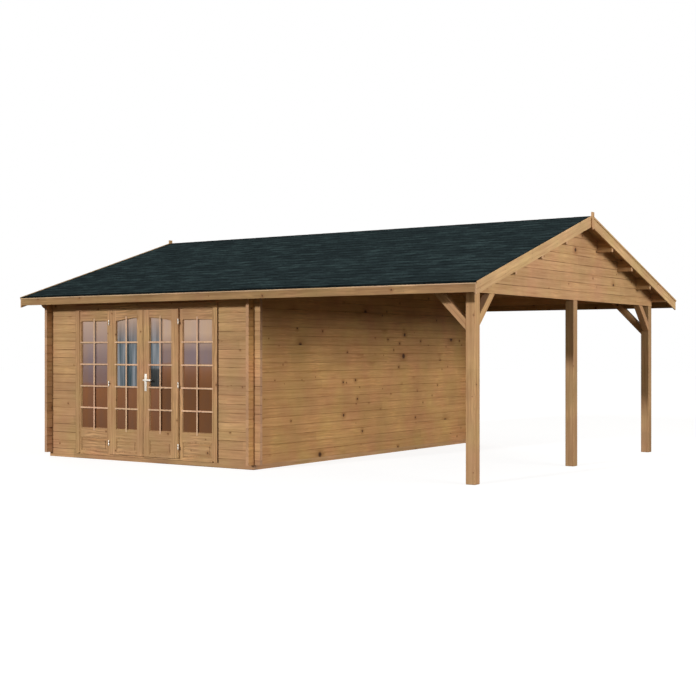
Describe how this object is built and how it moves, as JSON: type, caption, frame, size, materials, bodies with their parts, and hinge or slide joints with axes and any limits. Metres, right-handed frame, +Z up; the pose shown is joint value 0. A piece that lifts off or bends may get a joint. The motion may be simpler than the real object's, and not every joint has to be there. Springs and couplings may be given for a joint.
{
  "type": "garden house",
  "caption": "Timber log garden house: a closed cabin with glazed double doors and side lights, and an open post-and-brace canopy, under one shingled gable roof.",
  "frame": {"origin": "centre of the roof's plan at ground level", "axes": "+X along the ridge from the cabin to the canopy, +Y from the door side to the back, +Z up"},
  "size_m": [7.172, 6.12, 3.2176],
  "materials": {
    "timber": "brown dipped softwood, matt",
    "trim": "planed brown dipped softwood, matt",
    "shingle": "bitumen shingle with mineral granules",
    "glass": "clear",
    "hardware": "satin"
  },
  "bodies": {
    "house": {"foundation_front_back": "timber", "foundation_sides": "timber", "floor_bearers": "timber", "floor_boards": "timber", "front_wall_left": "timber", "front_wall_right": "timber", "front_header": "timber", "front_plate": "timber", "back_wall": "timber", "back_plate": "timber", "left_gable_wall": "timber", "cabin_gable_wall": "timber", "canopy_gable": "timber", "posts": "timber", "eave_braces": "timber", "gable_braces": "timber", "ridge_purlin": "timber", "front_purlins": "timber", "back_purlins": "timber", "roof_boards_front": "timber", "roof_boards_back": "timber", "shingles_front": "shingle", "shingles_back": "shingle", "ridge_cap": "shingle", "fascia_front": "trim", "fascia_back": "trim", "bargeboards_left": "trim", "bargeboards_right": "trim", "finials": "trim", "frame_jambs": "trim", "frame_head": "trim", "frame_sill": "trim", "frame_mullions": "trim", "side_lights": "trim", "side_glass": "glass", "hinge_frame_halves": "hardware"},
    "door_left": {"door_left": "trim", "door_left_glass": "glass", "hinge_left_halves": "hardware"},
    "door_right": {"door_right": "trim", "door_right_glass": "glass", "hinge_right_halves": "hardware", "handle_plates": "hardware"},
    "door_handle": {"handle_lever": "hardware"}
  },
  "joints": [
    {"name": "left_door_hinge", "type": "hinge", "parent": "house", "child": "door_left", "pos_m": [-2.1715, -2.746, 1.026], "axis": [0, 0, -1], "range_deg": [0, 165]},
    {"name": "right_door_hinge", "type": "hinge", "parent": "house", "child": "door_right", "pos_m": [-0.9285, -2.746, 1.026], "axis": [0, 0, 1], "range_deg": [0, 165]},
    {"name": "handle_turn", "type": "hinge", "parent": "door_right", "child": "door_handle", "pos_m": [-1.5, -2.715, 1.084], "axis": [0, 1, 0], "range_deg": [0, 40], "stiffness_Nm_per_rad": 1.5, "springref_deg": -20.05}
  ]
}
